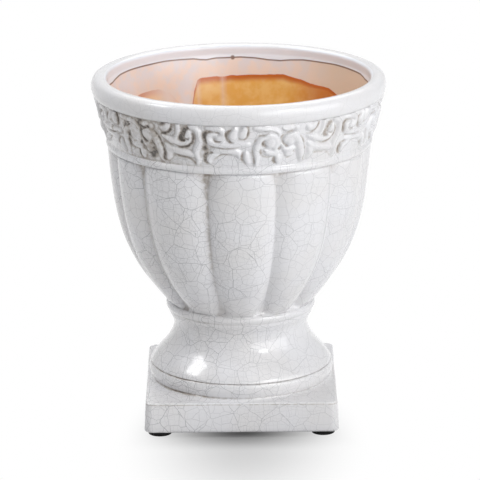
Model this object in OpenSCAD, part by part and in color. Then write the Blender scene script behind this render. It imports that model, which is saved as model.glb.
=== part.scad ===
// Urn-shaped cachepot in crackle-glazed ceramic: a fluted bowl with a sprigged
// frieze and a rolled rim, on a bell-shaped pedestal, a foot ring and a square
// plinth with four self-adhesive pads. Millimetres, +Z up. The origin is the
// centre of the underside, on the surface that the pads stand on. The front of
// the plinth faces -Y.

/* [Rim] */
// Outside diameter of the rolled rim, the widest place of the pot
rim_d = 150; // [147:1:158]
// Height of the roll
rim_h = 10; // [7:0.5:13]
// Width of the roll, from its outside to the edge of the mouth
rim_lip_w = 7.8; // [6.5:0.1:9.5]
// How far the roll stands out from the ground of the frieze
rim_overhang = 2.2; // [1.5:0.1:4]
// How round the roll is, 1 for an ellipse and less for a squarer roll, a pure number
rim_roundness = 0.8; // [0.6:0.05:1]

/* [Frieze] */
// Height of the band that carries the ornament
frieze_h = 22; // [16:0.5:28]
// How much less the band measures across its bottom than across its top
frieze_taper = 11.2; // [6:0.2:14]
// Height of the bead under the band
bead_h = 4; // [2:0.25:6]
// How far the bead stands out from the crest of the lobes
bead_relief = 0.6; // [0.3:0.1:2]
// How far the sprigs stand out from the ground
sprig_relief = 1.5; // [0.8:0.1:2.2]
// Half width of an ornament's stroke where it is widest
stroke_r = 1.5; // [0.9:0.05:1.7]
// Half width of an ornament's stroke where it runs out
stroke_end_r = 1.05; // [0.6:0.05:1.3]
// Pairs of ornaments round the band
sprig_pairs = 6; // [4:1:6]

/* [Bowl] */
// Height of the fluted bowl
bowl_h = 82; // [70:1:95]
// How far the bowl is turned on its plinth, in degrees
bowl_turned = 1.8; // [-15:0.2:15]
// How far the crests of the lobes stand out from the bottom of the frieze
crest_relief = 0.2; // [0:0.1:1]
// How far the crests of the lobes stand out from the ring below them
lobe_overhang = 0.7; // [0.2:0.1:2]
// How much of the radius is gained by the even flare of the wall
bowl_flare = 8; // [4:0.5:12]
// How soon the belly fills out, a pure number
bowl_belly = 3.8; // [3:0.1:5]
// How softly the foot of the bowl turns, a pure number
bowl_turn = 1.26; // [1:0.02:1.5]
// Thickness of the wall behind the crest of a lobe
bowl_wall = 6.5; // [5.5:0.25:8]
// Thickness of the floor inside the pot
floor_t = 6; // [4:0.5:9]
// Diameter of the flat part of the floor
floor_flat_d = 56; // [40:1:62]
// Height of the curve between the floor and the wall
floor_curve_h = 9; // [6:0.5:14]
// Lobes round the bowl
lobes = 12; // [8:1:16]
// Depth of the grooves between lobes at the top
groove_depth = 2; // [1:0.1:2.6]
// Depth of the grooves at the foot of the bowl
groove_foot_depth = 3; // [2:0.1:3.4]
// How broad and flat a lobe is across, a pure number
lobe_flatness = 3; // [2:0.1:4]

/* [Neck ring] */
// Height of the ring between the pedestal and the bowl
neck_h = 10.5; // [7:0.5:14]
// Diameter of the ring at its top
neck_d = 76; // [70:0.2:82]
// How far the waist, the narrowest place of the pot, draws in from the ring
waist_depth = 3.8; // [2:0.1:6]

/* [Pedestal] */
// Height of the bell-shaped pedestal
pedestal_h = 22.5; // [16:0.5:30]
// Diameter of the bell at its lower edge
pedestal_d = 93.2; // [86:0.2:104]
// Thickness of the wall of the hollow foot
foot_wall = 5; // [3.5:0.25:7]

/* [Foot ring] */
// Height of the ring under the bell
foot_h = 9; // [6:0.5:12]
// How far the ring stands out from the bell
foot_step = 1.2; // [0.6:0.1:3]
// Radius of the ring's rounded shoulder
foot_round_r = 3.2; // [2:0.1:4.5]

/* [Plinth] */
// How far the plinth reaches beyond the foot ring on each side, at its bottom
plinth_margin = 1.7; // [1.2:0.1:6]
// Height of the plinth
plinth_h = 15.5; // [10:0.5:22]
// How much each side leans in towards the top
plinth_draft = 1.1; // [0:0.1:1.5]
// Radius of the plinth's upright corners
plinth_corner_r = 4; // [3:0.25:8]
// Radius of the plinth's level edges
plinth_edge_r = 1.5; // [0.75:0.25:2.5]
// Height and reach of the cove that meets the foot ring in the corners
cove_r = 3; // [1.5:0.25:4.5]

/* [Pads] */
// Diameter of a pad
pad_d = 12; // [8:0.5:14]
// Thickness of a pad
pad_t = 2.5; // [1.5:0.25:4]
// How far a pad lies in from the edges of the plinth's flat underside
pad_inset = 0.5; // [0:0.25:3.5]

/* [Hidden] */
$fn = 96;
// How far cutting shapes run past the faces that they cut
over = 1;
// Steps of a curve between two of its points
curve_steps = 3;
// Levels in the height of the fluted wall
wall_levels = 20;
// Steps across one half of a lobe
lobe_steps = 5;
// How much closer the levels lie towards the foot of the bowl, a pure number
level_spread = 1.4;
// Steps of a rounded profile
round_steps = 12;
// Steps of the plinth's rounded edges
edge_steps = 4;
// Share of the pedestal's height that goes straight down from the waist
bell_straight_share = 0.08;
// Where the roll of the rim leaves the frieze, in degrees below its middle
rim_start_a = 65;

plinth_z = pad_t;
foot_z = plinth_z + plinth_h;
pedestal_z = foot_z + foot_h;
neck_z = pedestal_z + pedestal_h;
bowl_z = neck_z + neck_h;
bead_z = bowl_z + bowl_h;
frieze_z = bead_z + bead_h;
rim_z = frieze_z + frieze_h;
floor_z = bowl_z + floor_t;
curve_z = floor_z + floor_curve_h;

frieze_top_d = rim_d - 2 * rim_overhang;
frieze_bottom_d = frieze_top_d - frieze_taper;
bowl_top_d = frieze_bottom_d + 2 * crest_relief;
bowl_foot_d = neck_d + 2 * lobe_overhang;
waist_d = neck_d - 2 * waist_depth;
foot_d = pedestal_d + 2 * foot_step;
plinth_w = foot_d + 2 * plinth_margin;

mouth_r = rim_d / 2 - rim_lip_w;
lobe_turn = 360 / lobes;
sprig_turn = 180 / sprig_pairs;
// The inside of the hollow foot at the waist and at the bottom
waist_bore_r = waist_d / 2 - foot_wall;
foot_bore_r = pedestal_d / 2 - foot_wall;

// Length that the x shares below are taken of, from the room that an ornament has
sprig_room_share = 0.6;
sprig_w = sprig_room_share * PI * (frieze_top_d + frieze_bottom_d) / (4 * sprig_pairs);
// Places along the ornaments' strokes, x from the ornament's middle as shares of
// sprig_w, and y from the bottom of the band as shares of its height
palmette_scroll_shares = [
    [-0.58, 0.09], [-0.57, 0.40], [-0.48, 0.65], [-0.32, 0.77], [-0.17, 0.71],
    [-0.12, 0.58], [-0.19, 0.45], [-0.31, 0.46], [-0.33, 0.57]];
palmette_wing_shares = [[0, 0.34], [-0.12, 0.25], [-0.26, 0.22], [-0.40, 0.27], [-0.52, 0.36]];
palmette_stem_shares = [[0, 0.34], [0, 0.60], [0, 0.88]];
palmette_drop_shares = [[0, 0.32], [0, 0.23], [0, 0.16]];
palmette_bud_shares = [-0.36, 0.86];
palmette_leaf_shares = [[0, 0.80], [-0.07, 0.86], [-0.13, 0.92]];
volute_scroll_shares = [
    [0.30, 0.72], [0.36, 0.64], [0.46, 0.68], [0.48, 0.78], [0.38, 0.86], [0.22, 0.84],
    [0.12, 0.71], [0.17, 0.56], [0.34, 0.48], [0.56, 0.48], [0.73, 0.55], [0.79, 0.69],
    [0.74, 0.83], [0.64, 0.83], [0.62, 0.74]];
volute_cup_shares = [[0.80, 0.72], [0.87, 0.68], [0.95, 0.68], [1.02, 0.74], [1.04, 0.86]];
volute_tail_shares = [
    [0, 0.34], [0.22, 0.29], [0.50, 0.31], [0.74, 0.33], [0.88, 0.25], [0.92, 0.10]];
volute_stem_shares = [[0, 0.18], [0, 0.42], [0, 0.62], [0.06, 0.76]];
volute_leaf_shares = [[0, 0.28], [0.05, 0.16], [0.11, 0.07]];
// Width of a drop or bud, as a share of its stroke's width
bud_share = 1.15;

// Radius of the crests of the lobes at a share t of the bowl's height
function crest_r(t) =
    bowl_foot_d / 2 + bowl_flare * t
    + (bowl_top_d / 2 - bowl_foot_d / 2 - bowl_flare) * pow(1 - pow(1 - t, bowl_belly), bowl_turn);

// Depth of the grooves at a share t of the bowl's height
function groove_at(t) = groove_depth + (groove_foot_depth - groove_depth) * pow(1 - t, 3);

// How far a lobe falls away at a place s across it, 0 on its crest and 1 in the groove
function fall(s) = 1 - pow(1 - pow(abs(s), lobe_flatness), 1 / lobe_flatness);

// Radius of the inside of the wall between the floor's curve and the mouth
function inside_r(z) =
    z < bead_z ? crest_r((z - bowl_z) / bowl_h) - bowl_wall
    : let (at_bead = bowl_top_d / 2 - bowl_wall)
      at_bead + (mouth_r - at_bead) * (z - bead_z) / (rim_z + rim_h / 2 - bead_z);

// Radius of the plain ground of the frieze at height z
function ground_r(z) =
    (frieze_bottom_d + (frieze_top_d - frieze_bottom_d) * (z - frieze_z) / frieze_h) / 2;

// Radius of the bell at a share t of the pedestal's height, from the waist down
function bell_r(t) =
    let (s = max(t - bell_straight_share, 0) / (1 - bell_straight_share))
    waist_d / 2 + (pedestal_d - waist_d) / 4 * (1 - cos(180 * s));

// A cosine or sine pushed outwards, which makes an ellipse squarer
function squared(v) = sign(v) * pow(abs(v), rim_roundness);

// A point between b and c on a smooth curve through a, b, c and d
function between(a, b, c, d, t) =
    b + (c - a) * t / 2 + (2 * a - 5 * b + 4 * c - d) * t * t / 2
    + (3 * b - a - 3 * c + d) * t * t * t / 2;

// A smooth curve through the points p
function curve(p) = let (last = len(p) - 1) concat(
    [for (i = [0:last - 1]) for (k = [0:curve_steps - 1])
        between(p[max(i - 1, 0)], p[i], p[i + 1], p[min(i + 2, last)], k / curve_steps)],
    [p[last]]);

// The direction across a path at its point i
function across(p, i) =
    let (d = p[min(i + 1, len(p) - 1)] - p[max(i - 1, 0)]) [-d.y, d.x] / norm(d);

// Half width at point i of n, full at first and narrowing to the end
function width_at(i, n, start_r, end_r) = start_r + (end_r - start_r) * i / n;

// A place on the band's face from its shares
function place(share) = [share.x * sprig_w, share.y * frieze_h];

// A stroke with round ends along a smooth curve through places given as shares
module stroke(shares, start_r, end_r) {
    p = curve([for (share = shares) place(share)]);
    n = len(p) - 1;
    polygon(concat(
        [for (i = [0:n]) p[i] + across(p, i) * width_at(i, n, start_r, end_r)],
        [for (i = [n:-1:0]) p[i] - across(p, i) * width_at(i, n, start_r, end_r)]));
    translate(p[0]) circle(start_r, $fn = 20);
    translate(p[n]) circle(end_r, $fn = 20);
}

module both_sides() {
    children();
    mirror([1, 0]) children();
}

// Two scrolls back to back with a small fan between them and a drop below
module palmette_outline() {
    both_sides() {
        stroke(palmette_scroll_shares, stroke_r, stroke_end_r);
        stroke(palmette_wing_shares, stroke_r, stroke_end_r);
        stroke(palmette_leaf_shares, stroke_end_r, stroke_end_r);
        translate(place(palmette_bud_shares)) circle(stroke_end_r * bud_share, $fn = 20);
    }
    stroke(palmette_stem_shares, stroke_end_r, stroke_end_r);
    stroke(palmette_drop_shares, stroke_end_r, stroke_r * bud_share);
}

// A stem that parts into two double volutes, each with a cup leaf and a tail
module volute_outline() {
    both_sides() {
        stroke(volute_scroll_shares, stroke_end_r, stroke_end_r);
        stroke(volute_cup_shares, stroke_end_r, stroke_end_r);
        stroke(volute_tail_shares, stroke_end_r, stroke_r);
        stroke(volute_stem_shares, stroke_r, stroke_end_r);
        stroke(volute_leaf_shares, stroke_end_r, stroke_r);
    }
}

// An outline with its strokes welded into one, laid on the ground of the frieze
module sprig(angle) {
    inside = ground_r(frieze_z) / 2;
    color("ivory")
        intersection() {
            rotate([0, 0, angle + bowl_turned]) translate([0, 0, frieze_z]) rotate([90, 0, 0])
                translate([0, 0, inside]) linear_extrude(rim_d / 2 - inside)
                    offset(delta = 0) children();
            rotate_extrude()
                polygon([
                    [ground_r(frieze_z), frieze_z],
                    [ground_r(frieze_z) + sprig_relief, frieze_z],
                    [ground_r(rim_z) + sprig_relief, rim_z],
                    [ground_r(rim_z), rim_z]]);
        }
}

module palmette_sprig(i) {
    sprig(sprig_turn * (2 * i - 1.5)) palmette_outline();
}

module volute_sprig(i) {
    sprig(sprig_turn * (2 * i - 2.5)) volute_outline();
}

// The outside of the bowl: a ring of points at each level, joined by triangles,
// with a fan of triangles round the middle of the foot and of the top
module fluted_wall() {
    ring_n = 2 * lobe_steps * lobes;
    top_ring = wall_levels * ring_n;
    foot_middle = top_ring + ring_n;
    top_middle = foot_middle + 1;
    rings = [for (i = [0:wall_levels])
        let (t = pow(i / wall_levels, level_spread))
        [for (lobe = [0:lobes - 1]) for (k = [-lobe_steps:lobe_steps - 1])
            let (
                s = sin(90 * k / lobe_steps),
                a = lobe_turn * (lobe + s / 2) + bowl_turned - 90,
                r = crest_r(t) - groove_at(t) * fall(s))
            [r * cos(a), r * sin(a), bowl_z + bowl_h * t]]];
    polyhedron(
        points = concat([for (ring = rings) for (p = ring) p], [[0, 0, bowl_z], [0, 0, bead_z]]),
        faces = concat(
            [for (j = [0:ring_n - 1]) [foot_middle, j, (j + 1) % ring_n]],
            [for (j = [0:ring_n - 1]) [top_middle, top_ring + (j + 1) % ring_n, top_ring + j]],
            [for (i = [0:wall_levels - 1]) for (j = [0:ring_n - 1])
                let (a = i * ring_n + j, b = i * ring_n + (j + 1) % ring_n)
                for (half = [[a, a + ring_n, b], [b, a + ring_n, b + ring_n]]) half]));
}

module bowl() {
    curve_r = inside_r(curve_z) - floor_flat_d / 2;
    color("ghostwhite")
        difference() {
            fluted_wall();
            rotate_extrude()
                polygon(concat(
                    [[0, floor_z]],
                    [for (k = [0:round_steps])
                        let (a = 90 * k / round_steps)
                        [floor_flat_d / 2 + curve_r * sin(a), curve_z - floor_curve_h * cos(a)]],
                    [for (k = [1:wall_levels])
                        let (z = curve_z + (bead_z - curve_z) * k / wall_levels)
                        [inside_r(z), z]],
                    [[inside_r(bead_z), bead_z + over], [0, bead_z + over]]));
        }
}

// The bead and the plain ground behind the sprigs
module frieze_band() {
    bead_r = bowl_top_d / 2 + bead_relief;
    color("linen")
        rotate_extrude()
            polygon(concat(
                [[inside_r(bead_z), bead_z]],
                [for (k = [0:round_steps])
                    let (a = 180 * k / round_steps - 90)
                    [bead_r - bead_h / 2 * (1 - cos(a)), bead_z + bead_h / 2 * (1 + sin(a))]],
                [[ground_r(frieze_z), frieze_z], [ground_r(rim_z), rim_z], [inside_r(rim_z), rim_z]]));
}

// A roll with a flattened crest on the top of the wall
module rim() {
    middle_r = rim_d / 2 - rim_lip_w / 2;
    middle_z = rim_z + rim_h / 2;
    color("white")
        rotate_extrude()
            polygon(concat(
                [[inside_r(rim_z), rim_z], [ground_r(rim_z), rim_z]],
                [for (k = [0:3 * round_steps])
                    let (a = (180 + rim_start_a) * k / (3 * round_steps) - rim_start_a)
                    [middle_r + rim_lip_w / 2 * squared(cos(a)),
                     middle_z + rim_h / 2 * squared(sin(a))]]));
}

module neck_ring() {
    color("ghostwhite")
        rotate_extrude()
            polygon(concat(
                [[waist_bore_r, neck_z]],
                [for (k = [0:round_steps])
                    let (a = 90 * k / round_steps)
                    [waist_d / 2 + (neck_d - waist_d) / 2 * sin(a), neck_z + neck_h * k / round_steps]],
                [[waist_bore_r, bowl_z]]));
}

// A hollow bell that spreads from the waist to the foot ring
module pedestal() {
    color("ghostwhite")
        rotate_extrude()
            polygon(concat(
                [for (k = [0:2 * round_steps])
                    let (t = k / (2 * round_steps))
                    [bell_r(t), neck_z - pedestal_h * t]],
                [for (k = [2 * round_steps:-1:0])
                    let (t = k / (2 * round_steps))
                    [bell_r(t) - foot_wall, neck_z - pedestal_h * t]]));
}

module foot_ring() {
    color("whitesmoke")
        rotate_extrude()
            polygon(concat(
                [[foot_bore_r, foot_z], [foot_d / 2, foot_z]],
                [for (k = [0:round_steps])
                    let (a = 90 * k / round_steps)
                    [foot_d / 2 - foot_round_r * (1 - cos(a)),
                     pedestal_z - foot_round_r * (1 - sin(a))]],
                [[foot_bore_r, pedestal_z]]));
}

// A disc with one rounded edge, which the corners of the plinth are hulled from
module corner_disc() {
    rotate_extrude($fn = 32)
        polygon(concat(
            [[0, plinth_edge_r], [0, 0]],
            [for (k = [0:edge_steps])
                let (a = 90 * k / edge_steps)
                [plinth_corner_r - plinth_edge_r * (1 - sin(a)), plinth_edge_r * (1 - cos(a))]]));
}

module four_corners(reach) {
    for (x = [-1, 1], y = [-1, 1]) translate([x * reach, y * reach, 0]) children();
}

// The square block, hollowed by a round well, with coves that rise to the foot ring
module plinth() {
    reach = plinth_w / 2 - plinth_corner_r;
    top_w = plinth_w - 2 * (plinth_draft + plinth_edge_r);
    color("ghostwhite")
        difference() {
            union() {
                translate([0, 0, plinth_z])
                    hull() {
                        four_corners(reach) corner_disc();
                        translate([0, 0, plinth_h]) mirror([0, 0, 1])
                            four_corners(reach - plinth_draft) corner_disc();
                    }
                intersection() {
                    rotate_extrude()
                        polygon(concat(
                            [[foot_d / 2, foot_z - over], [foot_d / 2 + cove_r, foot_z - over]],
                            [for (k = [round_steps:-1:0])
                                let (a = 90 * k / round_steps)
                                [foot_d / 2 + cove_r * (1 - cos(a)),
                                 foot_z + cove_r * (1 - sin(a))]]));
                    translate([-top_w / 2, -top_w / 2, foot_z - over])
                        cube([top_w, top_w, cove_r + over]);
                }
            }
            translate([0, 0, plinth_z - over])
                cylinder(r = foot_bore_r, h = plinth_h + 2 * over);
        }
}

// A round self-adhesive pad in one corner, under the solid part of the plinth
module pad(x, y) {
    reach = plinth_w / 2 - plinth_edge_r - pad_inset - pad_d / 2;
    color("black") translate([x * reach, y * reach, 0]) cylinder(d = pad_d, h = pad_t);
}

module pad_front_left() { pad(-1, -1); }

module pad_front_right() { pad(1, -1); }

module pad_back_left() { pad(-1, 1); }

module pad_back_right() { pad(1, 1); }

bowl();
frieze_band();
rim();
neck_ring();
pedestal();
foot_ring();
plinth();
for (i = [1:sprig_pairs]) {
    palmette_sprig(i);
    volute_sprig(i);
}
pad_front_left();
pad_front_right();
pad_back_left();
pad_back_right();
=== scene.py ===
# %% [markdown]
# # An urn-shaped cachepot in crackle-glazed ceramic
# The pot is cast in sections, dressed with pressed clay ornaments, joined with slip, glazed and
# fired, and it stands on four stuck-on pads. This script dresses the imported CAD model: each
# section is modelled again with finer forms at the same place and size, and every surface gets
# a glaze made of nodes. The frame is loaded first, because each piece takes its place from it.

from math import ceil, cos, pi, radians, sin

import bmesh
import bpy
import numpy as np
from mathutils import Matrix, Vector


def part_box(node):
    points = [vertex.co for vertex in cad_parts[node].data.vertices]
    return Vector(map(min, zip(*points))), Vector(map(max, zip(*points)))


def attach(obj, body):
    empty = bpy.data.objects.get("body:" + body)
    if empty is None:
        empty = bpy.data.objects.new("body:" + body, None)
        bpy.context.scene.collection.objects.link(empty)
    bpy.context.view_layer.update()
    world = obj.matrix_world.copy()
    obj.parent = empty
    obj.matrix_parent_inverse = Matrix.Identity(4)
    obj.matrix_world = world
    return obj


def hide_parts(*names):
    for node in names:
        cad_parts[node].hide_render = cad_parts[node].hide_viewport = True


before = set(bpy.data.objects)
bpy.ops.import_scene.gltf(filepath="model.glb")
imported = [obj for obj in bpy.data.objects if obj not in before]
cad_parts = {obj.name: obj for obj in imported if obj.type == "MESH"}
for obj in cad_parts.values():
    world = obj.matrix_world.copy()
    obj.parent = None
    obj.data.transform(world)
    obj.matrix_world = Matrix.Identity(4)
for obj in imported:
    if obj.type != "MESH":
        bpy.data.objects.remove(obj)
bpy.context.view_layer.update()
print("sections in the frame:", len(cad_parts))

# %% [markdown]
# ## Sizes
# Blender works in metres and the potter in millimetres, so shapes are drawn in millimetres and
# scaled once, when a piece is made. Heights and radii come from the boxes of the CAD nodes. Two
# bores, and the radius at which the frieze's drawing is laid out, are shared by several sections.

# %% Heights and radii of the sections
MM = 0.001
NECK_BORE, FOOT_BORE = 29.2, 41.6
FRIEZE_RADIUS = 70
SECTIONS = ["bowl", "frieze_band", "rim", "neck_ring", "pedestal", "foot_ring", "plinth"]
bottom = {name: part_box(name)[0].z / MM for name in SECTIONS}
top = {name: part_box(name)[1].z / MM for name in SECTIONS}
reach = {name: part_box(name)[1].x / MM for name in SECTIONS}
for name in SECTIONS:
    print(f"{name}: from {bottom[name]:.1f} to {top[name]:.1f} mm high, {reach[name]:.1f} mm out")

# %% [markdown]
# ## Camera
# The photograph was taken from nearly two metres away with a long lens, a little above the pot,
# and the camera was tilted by half a degree. The angles were fitted to the outlines of the rim,
# the bead and the plinth. Every object is linked to the scene as it is made.

# %% Camera at the photograph's place
AIM_HEIGHT = 90.15
CAMERA_DISTANCE = 1829
CAMERA_RISE = radians(15.71)
CAMERA_ROLL = radians(0.5)
LENS_MM, SENSOR_MM = 267, 36
FARTHEST_M = 20


def placed(name, data):
    """A new object in the scene."""
    made = bpy.data.objects.new(name, data)
    bpy.context.scene.collection.objects.link(made)
    return made


camera = placed("camera", bpy.data.cameras.new("camera"))
bpy.context.scene.camera = camera
camera.data.lens = LENS_MM
camera.data.sensor_width = SENSOR_MM
camera.data.clip_end = FARTHEST_M
away = Vector((0, -cos(CAMERA_RISE), sin(CAMERA_RISE)))
camera.location = (Vector((0, 0, AIM_HEIGHT)) + away * CAMERA_DISTANCE) * MM
camera.rotation_mode = "QUATERNION"
camera.rotation_quaternion = (-away).to_track_quat("-Z", "Y") @ Matrix.Rotation(
    -CAMERA_ROLL, 3, "Z").to_quaternion()
print("camera at", [round(value, 3) for value in camera.location])

# %% [markdown]
# ## Turning a section
# A section of the pot is round, so its profile is drawn once, as radius and height, and spun
# round the axis, as on a wheel. A smooth curve through a few profile points keeps the drawing
# short. A spin grows slow with many steps, so one slice is spun finely and then eleven copies of
# it are. The doubled points at the seams and on the axis are merged afterwards, and the normals
# are then set to point outwards.

# %% Profiles and spinning
SLICES = 12
SEAM = 1e-3


def smooth_line(points, spacing):
    """Points along a smooth curve through the given ones, about spacing apart."""
    p = np.array(points, float)
    p = np.vstack([2 * p[0] - p[1], p, 2 * p[-1] - p[-2]])
    line = []
    for a, b, c, d in zip(p[:-3], p[1:-2], p[2:-1], p[3:]):
        count = max(1, ceil(np.linalg.norm(c[:2] - b[:2]) / spacing))
        for t in np.arange(count) / count:
            line.append(b + (c - a) * t / 2 + (2 * a - 5 * b + 4 * c - d) * t**2 / 2
                        + (3 * b - a - 3 * c + d) * t**3 / 2)
    return [tuple(q) for q in line] + [tuple(p[-2])]


def raised(level, points, spacing):
    """A smooth profile through (radius, height) pairs, with the heights above a level."""
    return smooth_line([(r, level + height) for r, height in points], spacing)


def spun(section, steps, closed=True):
    """A bmesh of a profile of (radius, height) pairs, spun once round the axis."""
    bm = bmesh.new()
    line = [bm.verts.new((r, 0, z)) for r, z in section]
    ends = line[1:] + line[:1] if closed else line[1:]
    edges = [bm.edges.new(pair) for pair in zip(line, ends)]
    around = {"cent": (0, 0, 0), "axis": (0, 0, 1), "use_merge": False}
    bmesh.ops.spin(bm, geom=line + edges, angle=2 * pi / SLICES, steps=steps // SLICES,
                   use_duplicate=False, **around)
    slice_parts = list(bm.verts) + list(bm.edges) + list(bm.faces)
    bmesh.ops.spin(bm, geom=slice_parts, angle=2 * pi * (1 - 1 / SLICES), steps=SLICES - 1,
                   use_duplicate=True, **around)
    bmesh.ops.remove_doubles(bm, verts=bm.verts, dist=SEAM)
    bmesh.ops.recalc_face_normals(bm, faces=bm.faces)
    return bm

# %% [markdown]
# ## Hand-made surfaces
# A glazed pot is never perfectly even: the cast wall and the thick glaze rise and sink by a
# tenth or two of a millimetre, which bends the highlights. A sum of long, fixed waves does this
# for every piece alike, so that neighbours still meet. It only sinks the surface, so the pot
# never grows past its real size. Vertices are moved as one array, which is fast.

# %% Moving vertices and making pieces
WAVE_DEPTH = 0.22
WAVES = 9
LEAST_WASH, MOST_WASH = 0.13, 0.8
HEAVY_PLACE, HEAVY_SPREAD = -42, 26
chance = np.random.RandomState(11)
wave_ways = chance.normal(size=(WAVES, 3))
wave_ways /= np.linalg.norm(wave_ways, axis=1)[:, None]
wave_lengths = chance.uniform(16, 48, WAVES)
wave_starts = chance.uniform(0, 2 * pi, WAVES)


def glaze_waves(p):
    """How far the surface sinks at each point, in millimetres."""
    height = sum(np.sin(p @ way * 2 * pi / length + start)
                 for way, length, start in zip(wave_ways, wave_lengths, wave_starts))
    return WAVE_DEPTH * (1 + np.tanh(height / WAVES**0.5)) / 2


def points_of(mesh):
    """The vertices of a mesh as an array, in millimetres."""
    flat = np.empty(len(mesh.vertices) * 3, np.float32)
    mesh.vertices.foreach_get("co", flat)
    return flat.reshape(-1, 3).astype(float) / MM


def put_points(mesh, p):
    mesh.vertices.foreach_set("co", (p * MM).astype(np.float32).ravel())
    mesh.update()


def radius_of(p):
    return np.hypot(p[:, 0], p[:, 1])


def turn_of(p):
    """The angle of each point round the pot, in radians from the front."""
    return np.arctan2(p[:, 0], -p[:, 1])


def sink(p, amount):
    """Moves points towards the axis by an amount."""
    share = 1 - amount / np.maximum(radius_of(p), 1)
    return np.column_stack([p[:, 0] * share, p[:, 1] * share, p[:, 2]])


def glaze_over(piece, p, where=1):
    """Gives a piece its points, sunk by the waves of the glaze where they are wanted."""
    put_points(piece.data, sink(p, glaze_waves(p) * where))


def mark(mesh, name, values):
    """Keeps one number for each vertex, for a material to read."""
    attribute = mesh.attributes.new(name, "FLOAT", "POINT")
    attribute.data.foreach_set("value", np.asarray(values, np.float32))


def heavy_side(p):
    """How heavy the brown wash is round the pot, from 0 to 1; it is heaviest on the left."""
    a = turn_of(p)
    heavy = np.exp(-((np.degrees(a) - HEAVY_PLACE) / HEAVY_SPREAD)**2)
    return LEAST_WASH + MOST_WASH * heavy + 0.06 * np.sin(3 * a + 1) * np.cos(a)


def piece_from(bm, name, slot, *nodes, crease=40):
    """A finished piece from a bmesh in millimetres, in place of some CAD nodes."""
    bmesh.ops.scale(bm, vec=(MM, MM, MM), verts=bm.verts)
    mesh = bpy.data.meshes.new(name)
    bm.to_mesh(mesh)
    bm.free()
    mesh.shade_smooth()
    mesh.set_sharp_from_angle(angle=radians(crease))
    piece = placed(name, mesh)
    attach(piece, "root")
    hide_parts(*nodes)
    print(f"{name}: {len(mesh.vertices)} vertices")
    return piece

# %% [markdown]
# ## The inside of the pot
# White glaze laps over the rim and ends in a wavy edge just below it. Under it lies a thin
# pinkish glaze, and lower down the honey-coloured body shows, except where the pink glaze ran
# down over it in milky streaks. The two edges are written as heights at angles round the pot,
# measured from the middle of the back, and each vertex keeps how far it lies above the one and
# below the other. How bare the body is at each angle is written in the same way.

# %% Edges of the glazes inside
LAP_EDGE = [(-180, 171.4), (-150, 170.8), (-125, 171.8), (-100, 171.2), (-76, 170.2),
            (-65.5, 171.7), (-56.7, 172), (-43.2, 172.1), (-34.7, 172.3), (-24.5, 171.9),
            (-20.7, 171.7), (-17.4, 171), (-14.6, 170.7), (-10.4, 171.3), (-5.9, 171.3),
            (0.9, 171.5), (7.7, 171.1), (13.6, 170.4), (19.3, 170.3), (24, 171), (30.5, 171.7),
            (39.6, 171.8), (48.7, 172.1), (59.6, 171.9), (69.2, 171.8), (76.4, 170.8),
            (100, 171.4), (130, 171.9), (155, 171), (180, 171.4)]
BARE_EDGE = [(-180, 150), (-150, 146), (-125, 149), (-100, 152), (-80, 148), (-63, 150),
             (-57, 155.5), (-54.2, 158.3), (-45.7, 158.7), (-40.7, 158.6), (-34.2, 155.7),
             (-29.3, 149), (-27, 143), (-25, 142.5), (-23.4, 147), (-21.5, 155.3),
             (-19.6, 160.3), (-18.5, 161.2), (-11.8, 161.8), (-6.2, 161.6), (-3.8, 162.0),
             (0.8, 162.0), (12.5, 162.6), (21.1, 163.2), (24.7, 162.3), (29.9, 161.6),
             (35.5, 160.1), (40.2, 159.8), (46.4, 159.6), (50, 158.4), (54, 156.7), (62, 154),
             (80, 151), (105, 148), (130, 152), (155, 147), (180, 150)]
BARE_SHARE = [(-180, 0.8), (-60, 0.35), (-52, 0.6), (-44, 0.35), (-36, 0), (-27, 0.2), (-22, 0.75),
              (-21.2, 0.85), (-19.6, 0.55), (-17.6, 0.95), (-9.4, 1), (-7.6, 0.6), (-5.2, 1),
              (180, 1)]


def mark_inside(piece, inner):
    """Marks which vertices are inside the pot and where they lie from the glazes' edges."""
    p = points_of(piece.data)
    from_back = np.degrees(np.arctan2(p[:, 0], p[:, 1]))
    lap, bare, share = (np.interp(from_back, *zip(*edge))
                        for edge in (LAP_EDGE, BARE_EDGE, BARE_SHARE))
    mark(piece.data, "inside", inner)
    mark(piece.data, "above_lap", p[:, 2] - lap)
    mark(piece.data, "below_bare", bare - p[:, 2])
    mark(piece.data, "bare_share", share)

# %% [markdown]
# ## Bowl
# Twelve broad lobes stand round the bowl, with a narrow groove between each two. The profile of
# the crests is spun with its wall and floor, and the vertices are then moved: the columns are
# drawn together at the grooves, where the form is sharp, and the grooves are pressed in.

# %% Form of the bowl
CREST_FOOT, CREST_TOP, FLARE, BELLY, TURN = 38.7, 67.4, 8, 3.8, 1.26
WALL = 6.5
FLOOR_FLAT, FLOOR_TOP, FLOOR_CURVE = 28, 6, 9
LIP, MOUTH_Z = 7.8, 173
MOUTH = reach["rim"] - LIP
BOWL_TURNED = 1.8
LOBES, COLUMNS = 12, 40
LEVELS, CLOSER_BELOW = 96, 1.15
foot, shoulder = bottom["bowl"], top["bowl"]
bowl_height = shoulder - foot


def crest(t):
    """Radius of the lobes' crests at a share t of the bowl's height."""
    return CREST_FOOT + FLARE * t + (CREST_TOP - CREST_FOOT - FLARE) * (1 - (1 - t)**BELLY)**TURN


def inner_radius(z):
    """Radius of the inside of the wall at height z."""
    if z < shoulder:
        return crest((z - foot) / bowl_height) - WALL
    at_bead = CREST_TOP - WALL
    return at_bead + (MOUTH - at_bead) * (z - shoulder) / (MOUTH_Z - shoulder)


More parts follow.
